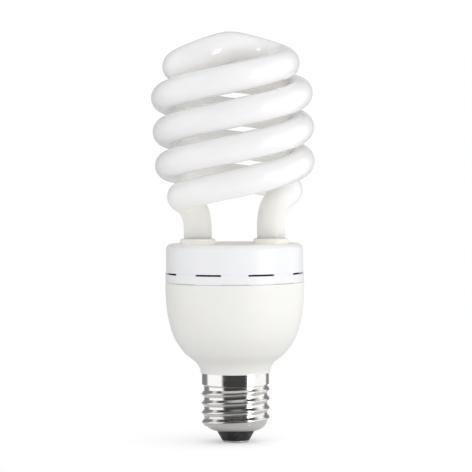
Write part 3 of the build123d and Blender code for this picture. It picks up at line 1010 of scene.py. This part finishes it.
@dataclass
class Bowl:
    """The lower housing: bowl, neck and stem in one turned wall, with its tongues and ledges.

    Sizes are in millimetres and angles in degrees.
    """

    outline: tuple[Span, ...] = (
        (13.4, 27.4),
        (14.7, 30.2),
        (19.6, 34.5),
        (23.6, 40.6),
        (25.8, 48.3),
        (26.55, 54.8),
        (26.75, 61.1),
    )
    outline_steps: int = 12
    outline_lead: float = 2.0
    outline_tail: float = 6.0
    wall: float = 1.6
    wall_foot: float = 29.0
    rim_chamfer: Span = (0.14, 0.35)
    rim_height: float = 61.6
    rim_radius: float = 26.25
    land_radius: float = 26.0
    land_height: float = 61.8
    spigot_radius: float = 24.85
    spigot_wall: float = 1.3
    spigot_foot: float = 57.0
    spigot_height: float = 63.4
    neck_foot: float = 26.65
    stem_top_radius: float = 12.6
    stem_radius: float = 11.8
    stem_foot: float = 8.6
    stem_shoulder: float = 22.9
    stem_chamfer: float = 0.6
    tongue_count: int = 8
    tongue_angle: float = 18.0
    tongue_steps: int = 6
    tongue_top: float = 66.2
    nose_reach: float = 0.4
    nose_foot: float = 64.8
    nose_height: float = 0.35
    ledge_count: int = 4
    ledge_turn: float = 45.0
    ledge_reach: float = 21.7
    ledge_angle: float = 7.4
    ledge_steps: int = 3
    ledge_slope: float = 0.6
    ledge_foot: float = 49.0
    ledge_top: float = 55.0
    steps_round: int = 192

    def curve(self) -> list[Span]:
        """The outside from the neck to the rim.

        Returns:
            Radii and heights of a smooth line through the outline's points.
        """
        (foot, foot_height), (rim, rim_height) = self.outline[0], self.outline[-1]
        before = (foot, foot_height - self.outline_lead)
        after = (rim, rim_height + self.outline_tail)
        points = [Vector(point) for point in (before, *self.outline, after)]
        result = []
        for four in zip(points, points[1:], points[2:], points[3:]):
            for n in range(self.outline_steps):
                result.append(tuple(self.between(four, n / self.outline_steps)))
        return result + [self.outline[-1]]

    @staticmethod
    def between(four: tuple[Vector, Vector, Vector, Vector], share: float) -> Vector:
        """A point on a smooth curve through four points.

        The curve's parameter grows with the square root of the distance between them, which
        keeps it from bulging where they are close together.

        Args:
            four: The points in order.
            share: 0 at the second point and 1 at the third.

        Returns:
            The point of the curve.
        """
        a, b, c, d = four
        first = (b - a).length ** 0.5
        second = first + (c - b).length ** 0.5
        third = second + (d - c).length ** 0.5
        here = first + (second - first) * share

        def mix(p: Vector, q: Vector, low: float, high: float) -> Vector:
            """The point of the line from p to q, which has them at these parameters."""
            return p.lerp(q, (here - low) / (high - low))

        middle = mix(b, c, first, second)
        early = mix(mix(a, b, 0.0, first), middle, 0.0, second)
        late = mix(middle, mix(c, d, second, third), first, third)
        return mix(early, late, first, second)

    def section(self) -> list[Span]:
        """Closed profile of the turned wall.

        Returns:
            Radii and heights, up the outside and down the inside.
        """
        outside = self.curve()
        rim, rim_top = self.outline[-1]
        inset, rise = self.rim_chamfer
        spigot_inside = self.spigot_radius - self.spigot_wall
        stem_inside = self.stem_radius - self.wall
        shoulder = [
            (rim - inset, rim_top + rise),
            (self.rim_radius, self.rim_height),
            (self.land_radius, self.rim_height),
            (self.land_radius, self.land_height),
            (self.spigot_radius, self.land_height),
            (self.spigot_radius, self.spigot_height),
            (spigot_inside, self.spigot_height),
            (spigot_inside, self.spigot_foot),
        ]
        inside = [
            (r - self.wall, z) for r, z in reversed(outside) if self.wall_foot < z < self.ledge_top
        ]
        stem = [
            (stem_inside, self.neck_foot),
            (stem_inside, self.stem_foot),
            (self.stem_radius, self.stem_foot),
            (self.stem_radius, self.stem_shoulder),
            (self.stem_top_radius, self.stem_shoulder + self.stem_chamfer),
            (self.stem_top_radius, self.neck_foot),
            (self.outline[0][0], self.neck_foot),
        ]
        return outside + shoulder + inside + stem

    def build(self, wardrobe: Wardrobe) -> bpy.types.Object:
        """Makes the lower housing and dresses it.

        Args:
            wardrobe: The materials.

        Returns:
            The lower housing.
        """
        pieces = [turned(self.section(), "bowl", 360.0, 0.0, self.steps_round)]
        outer, inner = self.spigot_radius, self.spigot_radius - self.spigot_wall
        nose = outer + self.nose_reach
        nose_top = self.nose_foot + self.nose_height
        tongue = [
            (inner, self.spigot_height),
            (outer, self.spigot_height),
            (outer, self.nose_foot),
            (nose, self.nose_foot),
            (nose, nose_top),
            (outer, nose_top),
            (outer, self.tongue_top),
            (inner, self.tongue_top),
        ]
        start = (360.0 / self.tongue_count - self.tongue_angle) / 2
        first_tongue = turned(tongue, "tongue", self.tongue_angle, start, self.tongue_steps)
        pieces += ringed(first_tongue, self.tongue_count)
        wall_radius = self.outline[-2][0] - self.wall / 2
        ledge = [
            (self.ledge_reach, self.ledge_foot),
            (wall_radius - self.ledge_slope, self.ledge_foot),
            (wall_radius, self.ledge_top),
            (self.ledge_reach, self.ledge_top),
        ]
        start = self.ledge_turn - self.ledge_angle / 2
        first_ledge = turned(ledge, "ledge", self.ledge_angle, start, self.ledge_steps)
        pieces += ringed(first_ledge, self.ledge_count)
        bowl = joined(pieces)
        wardrobe.dress(bowl, BOWL_PLASTIC)
        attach(bowl, "root")
        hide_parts("lower_housing")
        log.info("%s: %d faces", bowl.name, len(bowl.data.polygons))
        return bowl


# Studio


@dataclass(frozen=True)
class Softbox:
    """A flat lamp that faces the bulb.

    Angles are in degrees. Azimuth 0 is where the camera stands, and it grows towards +X.
    """

    name: str
    azimuth: float
    elevation: float
    distance: float
    width: float
    height: float
    brightness: float
    colour: Colour = WHITE

    def build(self, target: Vector) -> bpy.types.Object:
        """Adds the lamp.

        Args:
            target: The point that it faces.

        Returns:
            The lamp.
        """
        a, e = radians(self.azimuth), radians(self.elevation)
        away = Vector((sin(a) * cos(e), -cos(a) * cos(e), sin(e)))
        deselect()
        bpy.ops.object.light_add(type="AREA", location=target + away * self.distance)
        lamp = bpy.context.object
        lamp.name = lamp.data.name = self.name
        lamp.rotation_euler = away.to_track_quat("Z", "Y").to_euler()
        lamp.data.shape = "RECTANGLE"
        lamp.data.size = self.width
        lamp.data.size_y = self.height
        lamp.data.color = self.colour
        lamp.data.energy = self.brightness * pi * self.width * self.height
        lamp.visible_camera = False
        lamp.visible_glossy = False
        return lamp


@dataclass(frozen=True)
class FloorPaper(Finish):
    """Pale paper that looks white to the camera and keeps the shadow.

    Glossy surfaces see it dark in front of the bulb, where the tent is open.
    """

    colour: Colour = (0.80, 0.80, 0.80)
    glow: float = 0.34
    shade_depth: float = 0.7
    shade_bearings: Span = (35.0, 55.0)
    shade_radii: Span = (14 * MM, 28 * MM)

    def shade(self, graph: NodeGraph) -> bpy.types.Node:
        """Adds the nodes of this finish.

        Args:
            graph: The material's graph.

        Returns:
            The shader that the material shows.
        """
        white = graph.add("ShaderNodeBsdfDiffuse", None, {"Color": (*self.colour, 1.0)})
        black = graph.add("ShaderNodeBsdfDiffuse", None, {"Color": (*BLACK, 1.0)})
        across, ahead = graph.axis("X"), 0.0 - graph.axis("Y")
        front = across.heading(ahead).size().falling(self.shade_bearings)
        front = front * across.distance(ahead).rising(self.shade_radii)
        share = graph.ray("Is Glossy Ray") * front * self.shade_depth
        sockets = {0: share, 1: white.outputs[0], 2: black.outputs[0]}
        paper = graph.add("ShaderNodeMixShader", None, sockets)
        strength = graph.ray("Is Camera Ray") * self.glow
        glow = graph.add("ShaderNodeEmission", None, {"Strength": strength})
        return graph.add("ShaderNodeAddShader", None, {0: paper.outputs[0], 1: glow.outputs[0]})


@dataclass(frozen=True)
class Tent:
    """A white tent round the bulb, open towards the camera and between its walls and backdrop.

    The camera sees plain white. Diffuse surfaces see a tent that is a little brighter on the
    right, in front and below. Glossy ones see its walls, its ground, its backdrop, the dim
    openings and a bright strip at the front of the right wall. Bearings are in degrees from the
    camera towards +X. The other spans are lengths along one axis of the direction's unit vector.
    """

    sky_fill: float = 0.685
    ground_fill: float = 0.81
    fill_rise: Span = (-0.3, 0.3)
    right_fill: float = 0.30
    right_rise: Span = (-0.7, 0.9)
    front_fill: float = 0.18
    front_rise: Span = (-0.2, 0.9)
    front_level: float = 0.05
    front_turn: float = 2.0
    gap_level: float = 0.25
    gap_bearings: Span = (90.0, 110.0)
    wall_level: float = 1.2
    wall_fronts: Span = (39.0, 49.0)
    wall_backs: Span = (114.0, 128.0)
    wall_tops: Span = (0.6, 0.8)
    walls_turn: float = 9.0
    ground_levels: Span = (0.45, 0.75)
    ground_bearings: Span = (20.0, 80.0)
    ground_edge: Span = (0.4, 0.75)
    backdrop_level: float = 0.5
    backdrop_edge: Span = (0.88, 0.95)
    strip_gain: float = 8.0
    strip_front: Span = (42.0, 50.0)
    strip_back: Span = (58.0, 64.0)
    strip_ends: Span = (0.2, 0.35)

    def build(self) -> None:
        """Makes the world."""
        world = bpy.data.worlds.new("studio")
        world.use_nodes = True
        bpy.context.scene.world = world
        graph = NodeGraph(world.node_tree)
        split = graph.add("ShaderNodeSeparateXYZ", None, {0: graph.place("Generated")})
        right, back, up = (Reading(graph, split.outputs[letter]) for letter in "XYZ")
        camera, glossy = graph.ray("Is Camera Ray"), graph.ray("Is Glossy Ray")
        level = glossy.between(self.spread(right, back, up), self.mirrored(right, back, up))
        sockets = {"Color": (*WHITE, 1.0), "Strength": camera.between(level, 1.0)}
        background = graph.add("ShaderNodeBackground", None, sockets)
        graph.add("ShaderNodeOutputWorld", None, {"Surface": background.outputs[0]})

    def spread(self, right: Reading, back: Reading, up: Reading) -> Reading:
        """Brightness that diffuse surfaces see in a direction.

        Args:
            right: The direction's part along +X.
            back: Its part along +Y.
            up: Its part along +Z.

        Returns:
            The brightness.
        """
        level = up.rising(self.fill_rise).between(self.ground_fill, self.sky_fill)
        level = level + self.right_fill * right.rising(self.right_rise)
        return level + self.front_fill * (0.0 - back).rising(self.front_rise)

    def mirrored(self, right: Reading, back: Reading, up: Reading) -> Reading:
        """Brightness that glossy surfaces see in a direction.

        Args:
            right: The direction's part along +X.
            back: Its part along +Y.
            up: Its part along +Z.

        Returns:
            The brightness.
        """
        bearing = right.heading(0.0 - back)
        aside = (bearing + self.front_turn).size()
        walls = aside.rising(self.wall_fronts) * up.falling(self.wall_tops)
        walls = walls * (bearing - self.walls_turn).size().falling(self.wall_backs)
        opening = aside.rising(self.gap_bearings).between(self.front_level, self.gap_level)
        ground = aside.rising(self.ground_bearings).between(*self.ground_levels)
        level = walls.between(opening, self.wall_level)
        level = (0.0 - up).rising(self.ground_edge).between(level, ground)
        level = level.larger(self.backdrop_level * back.rising(self.backdrop_edge))
        strip = bearing.rising(self.strip_front) * bearing.falling(self.strip_back)
        return level + self.strip_gain * strip * up.size().falling(self.strip_ends)


@dataclass(frozen=True)
class Viewpoint:
    """The photograph's camera, with its angles in degrees."""

    distance: float = 0.865
    height: float = 0.1066
    lens: float = 171.4
    tilt: float = 1.81
    turn: float = 0.04
    roll: float = 0.4
    nearest: float = 10 * MM

    def build(self) -> None:
        """Adds the camera."""
        data = bpy.data.cameras.new("camera")
        camera = bpy.data.objects.new("camera", data)
        bpy.context.scene.collection.objects.link(camera)
        data.lens = self.lens
        data.clip_start = self.nearest
        camera.matrix_world = (
            Matrix.Translation((0, -self.distance, self.height))
            @ Matrix.Rotation(radians(-self.turn), 4, "Z")
            @ Matrix.Rotation(radians(90 - self.tilt), 4, "X")
            @ Matrix.Rotation(radians(-self.roll), 4, "Z")
        )
        bpy.context.scene.camera = camera


@dataclass
class Studio:
    """Floor, tent, lamps and camera."""

    aim: Vector = field(default_factory=lambda: Vector((0, 0, 0.08)))
    floor_radius: float = 90 * MM
    floor_gap: float = 0.1 * MM
    floor_facets: int = 96
    paper: FloorPaper = FloorPaper("pale_floor")
    tent: Tent = Tent()
    viewpoint: Viewpoint = Viewpoint()
    softboxes: tuple[Softbox, ...] = (
        Softbox("left_softbox", -80, 8, 1.0, 1.3, 1.3, 0.05),
        Softbox("right_softbox", 88, 8, 1.0, 1.4, 1.3, 0.05),
        Softbox("right_strip", 41, 4, 1.0, 0.36, 0.8, 0.35),
        Softbox("top_softbox", 0, 88, 1.1, 1.0, 1.0, 0.05),
    )

    def build(self) -> None:
        """Builds the whole studio."""
        self.build_floor()
        self.tent.build()
        for softbox in self.softboxes:
            softbox.build(self.aim)
        self.viewpoint.build()
        bpy.context.scene.view_settings.view_transform = "Standard"

    def build_floor(self) -> None:
        """Adds the round floor."""
        deselect()
        bpy.ops.mesh.primitive_circle_add(
            vertices=self.floor_facets,
            radius=self.floor_radius,
            fill_type="NGON",
            location=(0, 0, -self.floor_gap),
        )
        floor = bpy.context.object
        floor.name = "floor"
        floor.data.materials.append(self.paper.material())


def main() -> None:
    """Dresses the frame, builds the new pieces and sets up the studio."""
    logging.basicConfig(level=logging.INFO, format="%(message)s")
    wardrobe = Wardrobe()
    wardrobe.dress_frame(frame["record"])
    Bowl().build(wardrobe)
    SpiralTube().build(wardrobe)
    Studio().build()


if __name__ == "__main__":
    main()
